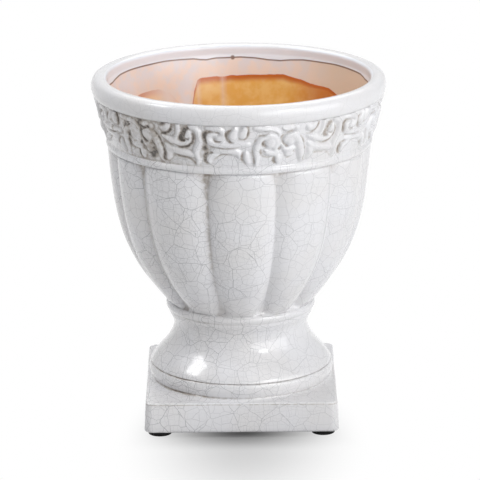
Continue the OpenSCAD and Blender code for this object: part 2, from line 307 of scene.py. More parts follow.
outside = [(crest(t), foot + bowl_height * t)
           for t in (np.arange(LEVELS + 1) / LEVELS)**CLOSER_BELOW]
curve_z = foot + FLOOR_TOP + FLOOR_CURVE
inner_wall = [(inner_radius(z), z) for z in np.linspace(shoulder, curve_z, 34)]
curve_reach = inner_radius(curve_z) - FLOOR_FLAT
floor_curve = [(FLOOR_FLAT + curve_reach * cos(a), curve_z - FLOOR_CURVE * sin(a))
               for a in np.linspace(0, pi / 2, 10)[1:]]
middle = [(r, foot + FLOOR_TOP) for r in (21, 14, 7, 0)]
underside = [(r, foot) for r in (0, 15, NECK_BORE, 34)]
bowl = piece_from(
    spun(underside + outside + inner_wall + floor_curve + middle, LOBES * COLUMNS, closed=False),
    "glazed_bowl", "crackle_glaze", "bowl", crease=50)

# %% [markdown]
# A lobe's cross-section is broad over its middle and falls away towards a soft valley. The valley
# widens at both ends, where the lobes are rounded over, and small three-cornered hollows open
# there. The valleys are painted darker as shade, most in the hollows under the bead; in the
# hollows at the foot the darkening is partly the brown wash of the glaze and partly painted shade.
# The pot was made by hand: four of the grooves lie off their even places, one by seven degrees,
# and the one left of the middle is deeper and is painted darker still as shade. At the foot the
# lobes run into the collar of the neck ring.

# %% Lobes and grooves
groove_places = BOWL_TURNED + 360 / LOBES * (np.arange(-LOBES, LOBES + 2) + 0.5)
SHIFTS = {-13.2: -2.1, -43.2: -6.9, -73.2: -0.5, 46.8: 0.5}
for place, shift in SHIFTS.items():
    groove_places[np.abs(groove_places - place) < 1] += shift
LOBE_POWER = 2.6
VALLEY = 0.08
WIDER_FOOT, FOOT_REACH = 0.25, 11
WIDER_TOP, TOP_REACH = 0.10, 14
GROOVE, GROOVE_AT_FOOT = 4.4, 0.3
DEEP_PLACE, DEEP_SPREAD, DEEPER = -15.3, 9, 0.9
FOOT_MEET, COLLAR_REACH = 3.8, 37.1
TOP_END, TOP_ROUNDING = 3.0, 0.9
STILL_FLOOR = 30
GROOVE_PAINTED_SHADE, FOOT_WASH_AND_SHADE, TOP_PAINTED_SHADE, DEEP_GROOVE_PAINTED_SHADE = 0.45, 0.25, 0.6, 0.26

p = points_of(bowl.data)
r, z = radius_of(p), p[:, 2]
t = np.clip((z - foot) / bowl_height, 0, 1)
turns = np.degrees(turn_of(p)) * LOBES / 360 - 0.5
lobe = np.floor(turns + 1e-6).astype(int)
across = np.sin(pi / 2 * (2 * (turns - lobe) - 1))
left, right = groove_places[lobe + LOBES], groove_places[lobe + LOBES + 1]
angle = np.radians((left + right) / 2 + (right - left) / 2 * across)
widened = 1 + WIDER_FOOT * np.clip(1 - (z - foot) / FOOT_REACH, 0, 1)**2
widened += WIDER_TOP * np.clip(1 - (shoulder - z) / TOP_REACH, 0, 1)**2
height = 1 - np.minimum(np.abs(across) * widened, 1)**LOBE_POWER
fall = np.clip(1 - np.sqrt(height**2 + VALLEY**2), 0, 1)
outer = r > np.array([inner_radius(h) for h in z]) + WALL / 2
beside = np.abs((np.degrees(angle) - DEEP_PLACE + 180) % 360 - 180)
deep_one = np.exp(-(beside / DEEP_SPREAD)**2) * np.minimum(2 * t, 1)
press = (GROOVE + GROOVE_AT_FOOT * (1 - t)**3 + DEEPER * deep_one) * fall
top_end = np.clip(1 - (shoulder - z) / TOP_END, 0, 1)
press += TOP_ROUNDING * (1 - np.sqrt(1 - top_end**2))
meet = np.clip(1 - (z - foot) / FOOT_MEET, 0, 1)**2
r = np.where(outer, (r - press) * (1 - meet) + COLLAR_REACH * meet, r)
p = np.column_stack([r * np.sin(angle), -r * np.cos(angle), z])
glaze_over(bowl, p, r > STILL_FLOOR)
bowl.data.set_sharp_from_angle(angle=radians(75))
# Painted shade darkens the valleys, most at their tops under the bead and in the deep groove; at
# the foot the darkening is partly wash and partly painted shade.
ends = FOOT_WASH_AND_SHADE * np.exp(-(z - foot) / 4) + TOP_PAINTED_SHADE * np.exp(-(shoulder - z) / 5)
wash_and_shade = (fall**8 * (GROOVE_PAINTED_SHADE + 0.2 * t) + fall**3 * ends) * (0.3 + 0.9 * heavy_side(p))
wash_and_shade += DEEP_GROOVE_PAINTED_SHADE * fall**3 * deep_one
mark(bowl.data, "wash_and_shade", np.where(outer, np.clip(wash_and_shade, 0, 1), 0))
mark_inside(bowl, np.where(outer, 0, 1))
print("bowl: deepest groove", round(float(press.max()), 2), "mm")

# %% [markdown]
# ## The frieze's drawing
# The ornament is drawn as strokes, each a smooth line with a half width at every point, in
# millimetres from the ornament's middle and from the bottom of the band. Broad strokes are the
# raised clay, and narrow ones are the creases that the tool cut into it. Two ornaments take
# turns. The first is a pair of scrolls back to back over a drop, and the two aren't alike.

# %% Strokes and creases of the scrolls
SCROLLS = [
    [(-12.3, 1.3, 0.8), (-12.1, 5, 1.4), (-12.2, 9, 1.7), (-11.3, 12.4, 1.7), (-9.6, 14.9, 1.6),
     (-6.9, 16.3, 1.5), (-4.1, 16, 1.4), (-2.2, 14.4, 1.3), (-1.8, 12.2, 1.3), (-2.7, 10.3, 1.4)],
    [(-5.5, 12.2, 2.4), (-4.9, 13, 2.4)],
    [(-13.1, 20.8, 0.7), (-9.5, 20.3, 1.1), (-5.5, 19.7, 1.2), (-2.3, 18.5, 1.2),
     (-0.7, 16.6, 0.9)],
    [(-7.9, 8.2, 0.7), (-5.9, 7.3, 1.2), (-3, 7.1, 1.4), (-1.1, 7.9, 1)],
    [(-1, 3.1, 1.8), (-0.9, 4.2, 1.8)],
    [(11.8, 2.6, 1.2), (11.4, 5.6, 1.9), (10.5, 9.6, 2.1), (9.1, 13, 2), (7.1, 15.4, 1.8),
     (4.7, 16.2, 1.5), (2.7, 15.4, 1.2), (2.1, 13.6, 1)],
    [(4.8, 12.9, 2.2), (4.6, 13.5, 2.2)],
    [(1.1, 11.2, 0.8), (1.9, 9.2, 1.1), (4, 8.5, 1.3), (6.5, 9, 1.1)],
    [(3.9, 6.2, 1.4), (5.7, 6.4, 1.4)],
    [(0.8, 19.9, 0.7), (2.9, 19.6, 1), (4.9, 20, 1)],
    [(7.7, 18.9, 1), (8, 19.4, 1)]]
SCROLL_CREASES = [
    [(-14.1, 9.8, 0.25), (-13.9, 7.5, 0.3), (-13.4, 5, 0.35), (-13.1, 3, 0.4), (-13.2, 2, 0.3)],
    [(-13.8, 12.6, 0.22), (-12.9, 14, 0.28), (-12.1, 15.8, 0.32), (-10.6, 16.9, 0.42),
     (-8.5, 17, 0.4), (-6.5, 17.9, 0.25)],
    [(-8.1, 13.9, 0.35), (-8.9, 13, 0.6), (-8.6, 12, 0.65), (-7.7, 11.2, 0.5)],
    [(-9.8, 9, 0.5), (-9.8, 7.7, 0.5), (-9.2, 6.3, 0.45), (-7.7, 5.4, 0.4), (-6, 5.1, 0.35),
     (-4.7, 5.4, 0.25)],
    [(-8.7, 8.6, 0.25), (-7.9, 8, 0.3)],
    [(-3.2, 4.8, 0.45), (-3.3, 3.5, 0.6), (-2.7, 2.2, 0.5), (-1.9, 1.3, 0.3)],
    [(-0.1, 10.2, 0.35), (-0.7, 9.2, 0.45)],
    [(5.3, 18.3, 0.55), (3.1, 17.6, 0.4), (1.4, 16.8, 0.45), (0.4, 15.4, 0.45), (0.7, 13.8, 0.32),
     (1.5, 12, 0.4), (2.8, 10.8, 0.45), (3.8, 10.4, 0.3)],
    [(-0.1, 20.2, 0.28), (1.1, 19, 0.25), (2.3, 18.2, 0.2)],
    [(10, 15.6, 0.25), (11.3, 14, 0.38), (12.4, 11.5, 0.4), (13.2, 8.5, 0.4), (13.4, 6, 0.35),
     (12.8, 3.5, 0.4), (12.8, 2.3, 0.35), (14.3, 1.9, 0.2)],
    [(2.4, 5.2, 0.3), (3.5, 4.5, 0.35), (5.1, 4.4, 0.32), (6.7, 5.5, 0.2)],
    [(7.1, 7.4, 0.4), (7.5, 7.2, 0.35)],
    [(-8.3, 18.9, 0.25), (-5.2, 19, 0.22), (-2.7, 17.9, 0.22), (-1.7, 16.2, 0.22)]]
print("scrolls:", len(SCROLLS), "strokes,", len(SCROLL_CREASES), "creases")

# %% [markdown]
# The second ornament is a pair of volutes that part from a gap, each with leaves under it and
# beside it. The right one also carries a ball and a bud.

# %% Strokes and creases of the volutes
VOLUTES = [
    [(20.7, 12.4, 0.8), (16.1, 12, 1.3), (11.1, 11.9, 1.6), (6.6, 12.1, 1.7), (2.8, 12.9, 1.7),
     (1.1, 15, 1.5), (1.9, 17.2, 1.2), (4.3, 17.8, 0.9)],
    [(6.1, 15.4, 1.5), (6.8, 15.9, 1.5)],
    [(0.7, 20.6, 0.7), (4.1, 20.7, 1), (6.9, 20.1, 1.2), (8.3, 18.4, 1.2), (8.4, 16.2, 1.1),
     (7.7, 14.6, 0.8)],
    [(12.8, 15.9, 1.9), (13.1, 16.8, 2.3), (13.4, 18.6, 1.8), (14.2, 20.4, 1.2)],
    [(17.7, 17.5, 2.3), (18.1, 18.8, 2.3), (18.9, 20.9, 1.6)],
    [(2.8, 9, 0.8), (7.1, 8.9, 1.4), (12.1, 8.7, 1.6), (15.7, 7.8, 1.5), (16.3, 5.8, 1)],
    [(0.7, 3.4, 1), (0.9, 5.2, 1.6), (2.7, 6.2, 1.5), (5.3, 6.6, 0.9)],
    [(19.5, 7.4, 1.1), (19.7, 5.2, 1.7), (20.5, 3, 1.2)],
    [(-7.7, 21.2, 0.8), (-5.1, 20.2, 1.2), (-3.6, 17.8, 1.5), (-3.4, 14.6, 1.5), (-4.2, 11.6, 1.5),
     (-5.5, 8.8, 1.5), (-5.3, 6, 1.1), (-4.6, 3.6, 1), (-5.2, 1.6, 0.7)],
    [(-22.4, 15, 0.8), (-19.1, 13.4, 1.3), (-15.4, 12, 1.5), (-11.4, 11.9, 1.5), (-8.4, 13.4, 1.3),
     (-7.8, 16.2, 1.2), (-8.9, 18.6, 0.9)],
    [(-9.9, 15.9, 1.4), (-9.4, 16.5, 1.4)],
    [(-14.1, 21.5, 0.8), (-14, 19, 1), (-14.6, 16.4, 1), (-15.9, 14.4, 0.9)],
    [(-22.5, 19.2, 1.4), (-20.5, 19.2, 1.8), (-19.1, 20.9, 1.3)],
    [(-21.7, 10.8, 0.7), (-18.4, 8.3, 1.4), (-13.9, 7.5, 1.7), (-10.3, 7, 1.6), (-8.1, 6.2, 1.2)],
    [(-21.1, 8.2, 1), (-20.1, 5.6, 1.5), (-21.3, 3.2, 1)]]
VOLUTE_CREASES = [
    [(6.5, 18.5, 0.25), (3.7, 18.9, 0.35), (0.9, 19.1, 0.6), (-0.5, 18, 0.75), (-0.9, 16.3, 0.75),
     (-0.7, 14.6, 0.7), (-0.1, 13.2, 0.45)],
    [(12.2, 20.1, 0.35), (10.7, 19.3, 0.6), (10, 17.9, 0.65), (10.2, 16.3, 0.6), (11, 14.6, 0.55),
     (12, 13.6, 0.4), (13.5, 13.3, 0.25)],
    [(20.3, 21.8, 0.5), (20.6, 20, 0.5), (20.4, 18, 0.55), (19.7, 16, 0.4), (18.1, 15, 0.35),
     (16.6, 15.2, 0.3), (15.8, 16.2, 0.25)],
    [(1.8, 11.2, 0.4), (4.6, 10.8, 0.3), (8.1, 10.3, 0.35), (12.1, 10.3, 0.35), (15.1, 10.8, 0.3),
     (18.4, 11.6, 0.22)],
    [(2.8, 8, 0.35), (0.7, 7.7, 0.55), (-0.9, 6.4, 0.8), (-1.4, 4.4, 0.7), (-1.1, 2.8, 0.6),
     (0.1, 1.9, 0.4)],
    [(3.8, 4.7, 0.22), (6.1, 6.4, 0.28), (8.6, 7.1, 0.3), (12.3, 7, 0.22)],
    [(17.7, 7.8, 0.35), (17.3, 6, 0.5), (17.4, 4.3, 0.55), (18.2, 2.8, 0.45), (19, 1.6, 0.3)],
    [(3.8, 15.2, 0.3), (4.4, 14.2, 0.4), (5.9, 13.8, 0.4), (7.3, 14, 0.25)],
    [(-6.6, 17.6, 0.4), (-6.3, 15.6, 0.6), (-7.1, 13.2, 0.65), (-9.1, 11, 0.55),
     (-11.4, 10.3, 0.5), (-13.9, 10.1, 0.4), (-17.2, 11.3, 0.25)],
    [(-8.9, 20.3, 0.5), (-10.3, 20, 1), (-11, 18.6, 0.8), (-11.9, 16.4, 0.9), (-12.6, 14.4, 0.8),
     (-11.3, 13.6, 0.5)],
    [(-16.9, 21.2, 0.6), (-18.1, 18.6, 0.5), (-20.1, 16.8, 0.5), (-23.2, 16.2, 0.4)],
    [(-17.3, 5.2, 0.4), (-13.9, 4.9, 0.35), (-10.4, 4.4, 0.4), (-7.9, 3.2, 0.4), (-6.7, 1.8, 0.4)],
    [(-10.4, 14.8, 0.3), (-9.1, 14.4, 0.35), (-8.4, 15.2, 0.25)]]


MARK_STEP = 0.25
STROKE_SPREAD, CREASE_SPREAD = 0.35, 0.05


def brush_marks(strokes, spread):
    """Every stroke as a close row of round marks: x, y, half width."""
    return np.vstack([smooth_line(stroke, MARK_STEP) for stroke in strokes]) + [0, 0, spread]


marks_of = {"palmette": brush_marks(SCROLLS, STROKE_SPREAD),
            "volute": brush_marks(VOLUTES, STROKE_SPREAD)}
creases_of = {"palmette": brush_marks(SCROLL_CREASES, CREASE_SPREAD),
              "volute": brush_marks(VOLUTE_CREASES, CREASE_SPREAD)}
print("marks:", {kind: len(marks) for kind, marks in marks_of.items()})

# %% [markdown]
# The relief follows from the drawing. Every mark makes a small dome, as wide as the mark, and
# the highest dome at a place is the relief there, so overlapping strokes grow together. Outside
# the strokes the height stays a little below nothing, so that an ornament's edge is sunk in the
# clay behind it, as when it is pressed on. The creases are cut afterwards.

# %% Relief of the ornaments
RELIEF = 1.02
HIGHEST = 1.65
SUNK = -0.12
FULL_CREASE = 0.75
BAND = [bottom["frieze_band"] + 4, top["frieze_band"]]
GROUND = [67.2, 72.8]


def around_marks(x, y, marks, far):
    """For each mark, the places near it, their distance in half widths, and the half width."""
    for mark_x, mark_y, half in marks:
        close = (np.abs(x - mark_x) < far * half) & (np.abs(y - mark_y) < far * half)
        near = np.flatnonzero(close)
        yield near, np.hypot(x[near] - mark_x, y[near] - mark_y) / half, half


def relief(x, y, marks):
    """Height of the ornament above the ground at each place, SUNK where there is none."""
    height = np.full(x.shape, SUNK)
    for near, share, half in around_marks(x, y, marks, 1.2):
        peak = min(RELIEF * half**0.6, HIGHEST)
        height[near] = np.maximum(height[near], peak * (1 - share**3))
    return height


def creased(x, y, marks):
    """How deep in a crease each place is, from 0 beside it to 1 along its middle."""
    depth = np.zeros(x.shape)
    for near, share, half in around_marks(x, y, marks, 2.5):
        strength = min((half / FULL_CREASE)**1.2, 1)
        depth[near] = np.maximum(depth[near], strength * np.exp(-share**2 / 1.3))
    return depth


def clearance(x, y, marks):
    """Distance from each place to the nearest stroke's edge, negative inside a stroke."""
    gap = np.full(x.shape, 9.0)
    for mark_x, mark_y, half in marks:
        gap = np.minimum(gap, np.hypot(x - mark_x, y - mark_y) - half)
    return gap


def ground_radius(z):
    return np.interp(z, BAND, GROUND)

# %% [markdown]
# ## Frieze band
# Under the ornament lie a half-round bead and a plain, slightly flared ground. The band is spun
# with columns half a millimetre apart, because each vertex keeps how much of the brown wash
# gathered there, which depends on how near a stroke is. The neighbourhood of the strokes takes
# more of it, and the side where it was wiped off least takes most; on that side it was also left
# in thick smears, which are listed by their place round the pot and height. The creases are
# darkened more, partly by the wash and partly by painted shade.

# %% Band behind the ornaments
SPRIG_TURN = 30
GROUND_WASH, BESIDE_WASH, BESIDE_REACH, EDGE_WASH = 0.34, 0.5, 0.5, 0.4
CREASE_WASH_AND_SHADE = 1.15
WORN_PLACE, WORN_SIZE = (-52, 9), (11, 12)
SMEARS = [(-46, 16.2, 2.4, 0.6), (-43.6, 13.4, 1.5, 0.7), (-44.6, 9.6, 2.8, 0.9),
          (-43, 6.2, 1.5, 0.7), (-46.5, 5.2, 2.2, 0.6), (-47, 2.9, 1.3, 0.8), (-50, 9, 3, 0.5),
          (-52, 19.5, 2.2, 0.7), (-38, 20.4, 2.6, 0.5), (-16.9, 10.3, 1.8, 0.9),
          (-28.9, 15.2, 1.8, 0.5), (-75.2, 17, 1.1, 0.9), (-75.5, 12, 1.3, 0.9),
          (-75.2, 7, 1.1, 0.8), (-60, 14, 3.5, 0.5), (-62.5, 18.5, 3, 0.5)]
PALMETTE_PLACES = [15 + 2 * SPRIG_TURN * i + BOWL_TURNED for i in range(6)]
VOLUTE_PLACES = [place - SPRIG_TURN for place in PALMETTE_PLACES]
z0 = bottom["frieze_band"]
bead = raised(z0, [(66.4, 0), (67.3, 0.35), (67.8, 1.1), (68, 2), (67.85, 2.8), (67.4, 3.5),
                   (67.15, 4)], 0.35)
ground = [(ground_radius(z), z) for z in np.linspace(z0 + 4.45, BAND[1], 46)]
band_inside = [(inner_radius(z), z) for z in np.linspace(BAND[1], z0, 12)]
band = piece_from(spun(bead + ground + band_inside, 900), "glazed_frieze_band",
                  "patinated_glaze", "frieze_band")
p = points_of(band.data)
z = p[:, 2]
angle = np.degrees(turn_of(p))
outer = radius_of(p) > np.array([inner_radius(h) for h in z]) + 2


def from_place(angle, places):
    """How far each angle lies from the nearest of some places, in degrees."""
    apart = (angle[:, None] - np.array(places) + 180) % 360 - 180
    return apart[np.arange(len(angle)), np.abs(apart).argmin(axis=1)]


def laid_flat(p):
    """Where points lie in the frieze's drawing: along it from the front, and up."""
    return turn_of(p) * FRIEZE_RADIUS, p[:, 2] - BAND[0]


def worn(p):
    """How badly the ornament was pressed; one place on the left is nearly worn away."""
    shares = [(place - middle) / size
              for place, middle, size in zip(laid_flat(p), WORN_PLACE, WORN_SIZE)]
    return np.exp(-shares[0]**4 - shares[1]**4)


def in_creases(deep, p):
    """The darkening of creases, partly wash and partly painted shade; the heavy side takes more of
    it.
    """
    return CREASE_WASH_AND_SHADE * deep * (0.6 + 0.4 * heavy_side(p))


def smeared(p):
    """How much wash the smears leave at each point; a smear is a place, a size, a strength."""
    u, v = laid_flat(p)
    return sum(strength * np.exp(-((u - x)**2 + (v - y)**2) / size**2)
               for x, y, size, strength in SMEARS)


gap, deep = np.full(len(p), 9.0), np.zeros(len(p))
for kind, places in (("palmette", PALMETTE_PLACES), ("volute", VOLUTE_PLACES)):
    x = np.radians(from_place(angle, places)) * FRIEZE_RADIUS
    near = outer & (np.abs(x) < 27) & (z > BAND[0] - 1)
    y = z - BAND[0]
    gap[near] = np.minimum(gap[near], clearance(x[near], y[near], marks_of[kind]))
    deep[near] = np.maximum(deep[near], creased(x[near], y[near], creases_of[kind]))
wash_and_crease_shade = GROUND_WASH + BESIDE_WASH * np.exp(-np.clip(gap - 0.1, 0, 9) / BESIDE_REACH)
edge_line = np.exp(-np.abs(z - BAND[0] - 0.2) / 0.5) + np.exp(-np.abs(z - BAND[1]) / 0.6)
wash_and_crease_shade = (wash_and_crease_shade * (z > BAND[0]) + EDGE_WASH * edge_line) * heavy_side(p) + smeared(p)
# The creases take both wash and painted shade.
wash_and_crease_shade = np.clip(wash_and_crease_shade + in_creases(deep, p), 0, CREASE_WASH_AND_SHADE)
mark(band.data, "wash_and_shade", np.where(outer, wash_and_crease_shade, 0))
mark_inside(band, np.where(outer, 0, 1))
glaze_over(band, p)
print("band: share of vertices with much wash", round(float((wash_and_crease_shade > 0.5).mean()), 3))

# %% [markdown]
# ## Ornaments
# Each ornament is a separate piece of pressed clay. A fine grid is raised to the relief and
# smoothed, because thick glaze rounds every edge, and then the creases are cut. The faces
# outside the strokes are deleted, the sheet is closed into a solid by extruding it backwards,
# and the solid is bent round the pot. All copies share one drawing, but each has its own small
# unevenness, because the waves depend on the place. The calm attribute says where the crackle
# shows less than elsewhere.

# %% Pressing and placing an ornament
GRID = 0.28
BACK = -1.7
SOFTENED = 12
CREASE_DEPTH = 1.6
SPRIG_WASH, LOW_WASH, LOW_REACH = 0.26, 0.55, 0.8
SPRIG_CALM, RIM_CALM = 0.45, 0.7


def pressed_form(marks, creases):
    """An ornament lying flat, with its relief as height and closed behind."""
    half_width = (np.abs(marks[:, 0]) + marks[:, 2]).max() + 4 * GRID
    half_height = (BAND[1] - BAND[0]) / 2
    bm = bmesh.new()
    bmesh.ops.create_grid(bm, x_segments=ceil(2 * half_width / GRID),
                          y_segments=ceil(2 * half_height / GRID), size=1)
    bmesh.ops.scale(bm, vec=(half_width, half_height, 1), verts=bm.verts)
    bmesh.ops.translate(bm, vec=(0, half_height, 0), verts=bm.verts)
    x, y, _ = np.array([vert.co for vert in bm.verts]).T
    for vert, height in zip(bm.verts, relief(x, y, marks)):
        vert.co.z = height
    for _ in range(SOFTENED):
        bmesh.ops.smooth_vert(bm, verts=bm.verts, factor=0.5, use_axis_z=True)
    for vert, depth in zip(bm.verts, creased(x, y, creases)):
        vert.co.z = max(vert.co.z - CREASE_DEPTH * depth, SUNK)
    outside = [face for face in bm.faces if face.calc_center_median().z < SUNK + 0.03]
    bmesh.ops.delete(bm, geom=outside, context="FACES")
    back = bmesh.ops.extrude_face_region(bm, geom=list(bm.faces), use_keep_orig=True)["geom"]
    for item in back:
        if isinstance(item, bmesh.types.BMVert):
            item.co.z = BACK
    bmesh.ops.recalc_face_normals(bm, faces=bm.faces)
    return bm


forms = {kind: pressed_form(marks_of[kind], creases_of[kind]) for kind in marks_of}


def ornament(kind, number, place):
    """One ornament, bent round the pot at its place."""
    name = f"{kind}_sprig_{number}"
    piece = piece_from(forms[kind].copy(), f"pressed_{name}", "sprig_glaze", name, crease=80)
    p = points_of(piece.data)
    z = p[:, 1] + BAND[0]
    angle = radians(place) + p[:, 0] / FRIEZE_RADIUS
    around = np.column_stack([np.sin(angle), -np.cos(angle), z])
    r = ground_radius(z) + p[:, 2] * np.where(p[:, 2] > 0, 1 - 0.5 * worn(around), 1)
    q = around * np.column_stack([r, r, np.ones(len(r))])
    glaze_over(piece, q)
    low = SPRIG_WASH + LOW_WASH * np.clip(1 - p[:, 2] / LOW_REACH, 0, 1)**1.5
    wash_and_shade = low * heavy_side(q) + 0.8 * smeared(q) * np.clip(1.4 - p[:, 2] / 1.6, 0, 1)
    # The creases take both wash and painted shade.
    wash_and_shade += in_creases(creased(p[:, 0], p[:, 1], creases_of[kind]), q)
    mark(piece.data, "wash_and_shade", np.clip(wash_and_shade, 0, CREASE_WASH_AND_SHADE))
    mark(piece.data, "calm", np.full(len(p), SPRIG_CALM))
    return piece


sprigs = []
for number in range(1, 7):
    for kind, places in (("palmette", PALMETTE_PLACES), ("volute", VOLUTE_PLACES)):
        sprigs.append(ornament(kind, number, places[number - 1]))
print("ornaments:", len(sprigs))

# %% [markdown]
# ## Rim
# The rim is a thick roll, soft on the outside and drawn to a crisper edge at the mouth. It is
# spun from a profile that starts at the wall's inside, and the inside is marked so that the
# white glaze can end in its wavy edge there.

# %% Rolled rim
RIM_CREASE, RIM_INNER = 72, 68.3
z0 = bottom["rim"]
roll = raised(z0, [(72.8, 0), (73.3, 0.35), (74.2, 1.3), (74.8, 3), (75, 5), (74.7, 7),
                   (73.8, 8.7), (72.4, 9.7), (71, 10), (69.4, 9.85), (68.2, 9.45), (67.45, 8.8),
                   (67.2, 8)], 0.4)
rim_inside = [(inner_radius(min(z, MOUTH_Z)), z) for z in np.linspace(z0 + 7.5, z0, 16)]
rim = piece_from(spun(roll + rim_inside, 600), "glazed_rim", "crackle_glaze", "rim")
p = points_of(rim.data)
glaze_over(rim, p)
under = np.clip(1 - np.abs(p[:, 2] - z0) / 0.5, 0, 1) * 0.5
mark(rim.data, "wash_and_shade", under * (radius_of(p) > RIM_CREASE))
mark_inside(rim, radius_of(p) < RIM_INNER)
mark(rim.data, "calm", np.full(len(p), RIM_CALM))

# %% [markdown]
# ## Neck ring, bell and foot ring
# Three turned sections carry the bowl. The neck ring has a soft collar over a crease, the bell
# flares from the waist like a trumpet's, and the foot ring bulges a little below it. Fine dark
# lines, partly wash and partly painted shade, run in the crease of the neck, where the bell stands
# on the ring, and round the foot of the ring. Each section is hollow, as the mould left it.

# %% Turned sections of the foot
WAIST, BELL_WALL = 34.85, 5
STILL_WAIST, LINE_WIDTH = 34, 0.45

z0, z1 = bottom["neck_ring"], top["neck_ring"]
neck_line = raised(z0, [(WAIST, 0), (35.35, 1.4), (36.1, 2.8), (36.9, 4.4), (37.3, 6)], 0.4)
neck_line += raised(z0, [(37.5, 6.4), (38.1, 7.2), (38.4, 8.2), (38.3, 9.2), (37.9, 10),
                         (37.2, z1 - z0)], 0.4)
neck_inside = [(NECK_BORE, z) for z in np.linspace(z1, z0, 6)]
neck = piece_from(spun(neck_line + neck_inside, 360), "glazed_neck_ring", "crackle_glaze",
                  "neck_ring")

z0, z1 = bottom["pedestal"], top["pedestal"]
flared = raised(z0, [(WAIST, z1 - z0), (34.5, 20.1), (34.8, 18), (35.9, 15), (37.6, 12), (39.9, 9),
                     (42.6, 6), (45.1, 3), (46.15, 1.5), (46.6, 0.45)], 0.5)
bell_line = flared + raised(z0, [(46.4, 0.12), (45.9, 0)], 0.15)
bell_inside = [(r - BELL_WALL, z) for r, z in reversed(flared[::2])] + [(WAIST - BELL_WALL, z1)]
bell_inside[0] = (reach["pedestal"] - BELL_WALL, z0)
bell = piece_from(spun(bell_line + bell_inside, 480), "glazed_bell", "crackle_glaze", "pedestal")

z0, z1 = bottom["foot_ring"], top["foot_ring"]
foot_line = [(46.2, z0)] + raised(z0, [(46.2, 1.6), (46.7, 2.5), (47.25, 4), (47.5, 5.8),
                                       (47.35, 7.6), (46.85, 8.7), (46, z1 - z0)], 0.35)
foot_inside = [(FOOT_BORE, z) for z in np.linspace(z1, z0, 5)]
foot_piece = piece_from(spun(foot_line + foot_inside, 480), "glazed_foot_ring", "crackle_glaze",
                        "foot_ring")
for piece, lines in ((neck, {bottom["neck_ring"] + 6.3: 0.5}),
                     (bell, {bottom["pedestal"]: 0.7}),
                     (foot_piece, {z1: 0.7, z0 + 1.8: 0.8})):
    p = points_of(piece.data)
    glaze_over(piece, p, radius_of(p) > STILL_WAIST)
    # Fine dark lines at the creases and joints, partly wash and partly painted shade.
    line = sum(depth * np.exp(-((p[:, 2] - level) / LINE_WIDTH)**2)
               for level, depth in lines.items())
    mark(piece.data, "wash_and_shade", line * (0.3 + 0.7 * heavy_side(p)))

# %% [markdown]
# ## Plinth
# The plinth starts square and ends round: its sides lean in a little, its edges are soft, and in
# the corners a hollow curve, a cove, rises to the foot ring. It is lofted ring by ring. A circle
# of edges is extruded without closing it, and each new ring is moved to its own outline, a
# circle, a rounded square, or something between them.

# %% Lofting from a circle to a rounded square
def square_reach(angle, half, corner):
    """Distance from the middle to the outline of a rounded square, along an angle."""
    c, s = np.abs(np.cos(angle)), np.abs(np.sin(angle))
    high, low = np.maximum(c, s), np.minimum(c, s)
    flat = half / high
    inner = half - corner
    along = inner * (c + s)
    round_part = along + np.sqrt(np.maximum(along**2 - 2 * inner**2 + corner**2, 0))
    return np.where(flat * low <= inner, flat, round_part)


def lofted(rings, count):
    """A closed tube through rings, each a function from an angle to a radius and a height."""
    bm = bmesh.new()
    bmesh.ops.create_circle(bm, segments=count, radius=1)
    verts, edges = list(bm.verts), list(bm.edges)
    first_edges = edges
    for number, ring in enumerate(rings):
        if number:
            made = bmesh.ops.extrude_edge_only(bm, edges=edges)["geom"]
            verts = [item for item in made if isinstance(item, bmesh.types.BMVert)]
            fresh = set(verts)
            edges = [item for item in made if isinstance(item, bmesh.types.BMEdge)
                     and fresh.issuperset(item.verts)]
        angle = np.array([np.arctan2(vert.co.y, vert.co.x) for vert in verts])
        r, z = ring(angle)
        z = np.broadcast_to(z, r.shape)
        for vert, place in zip(verts, zip(r * np.cos(angle), r * np.sin(angle), z)):
            vert.co = place
    bmesh.ops.bridge_loops(bm, edges=edges + first_edges)
    bmesh.ops.recalc_face_normals(bm, faces=bm.faces)
    return bm

# %% [markdown]
# The rings run from the bore outwards under the plinth, round its lower edge, up the side, over
# the upper edge and inwards along the cove. Where the ring above nearly reaches the side, the cove
# is steep and narrow, and in the corners it is wide and shallow. The top isn't quite level: its
# back edge stands a little higher. A fine dark line just under the upper edge is a painted
# reflection, as a rounded glossy edge shows it, and another line, partly wash and partly painted
# shade, runs where the coves meet the foot ring.

# %% Plinth with its coves
z0, z1 = bottom["plinth"], bottom["foot_ring"]
HALF_LOW, HALF_HIGH, CORNER = 49.5, 48.8, 4
LOW_EDGE, HIGH_EDGE = 1.2, 0.8
COVE_RISE, COVE_WIDTH, COVE_FOOT = 1.6, 9.0, 46.3
UNDER_RINGS, UNDER_CORNER = (44.5, 47.5), 3
BACK_LIFT = 1.3
STILL_BORE, EDGE_PAINTED_REFLECTION = 45, 0.45


def square_ring(half, corner, z):
    return lambda angle: (square_reach(angle, half, corner), z)


def cove_ring(k):
    """A ring at a share k of the way from the upper edge to the foot ring."""
    def ring(angle):
        edge = square_reach(angle, HALF_HIGH - HIGH_EDGE, CORNER - HIGH_EDGE)
        r = edge + (COVE_FOOT - edge) * k
        width = np.minimum(COVE_WIDTH, np.maximum(edge - COVE_FOOT, 0.05))
        climb = np.clip(1 - (r - COVE_FOOT) / width, 0, 1)
        return r, z1 + COVE_RISE * (1 - np.sqrt(1 - climb**2))
    return ring


def round_ring(z):
    return lambda angle: (np.full(angle.shape, FOOT_BORE), z)


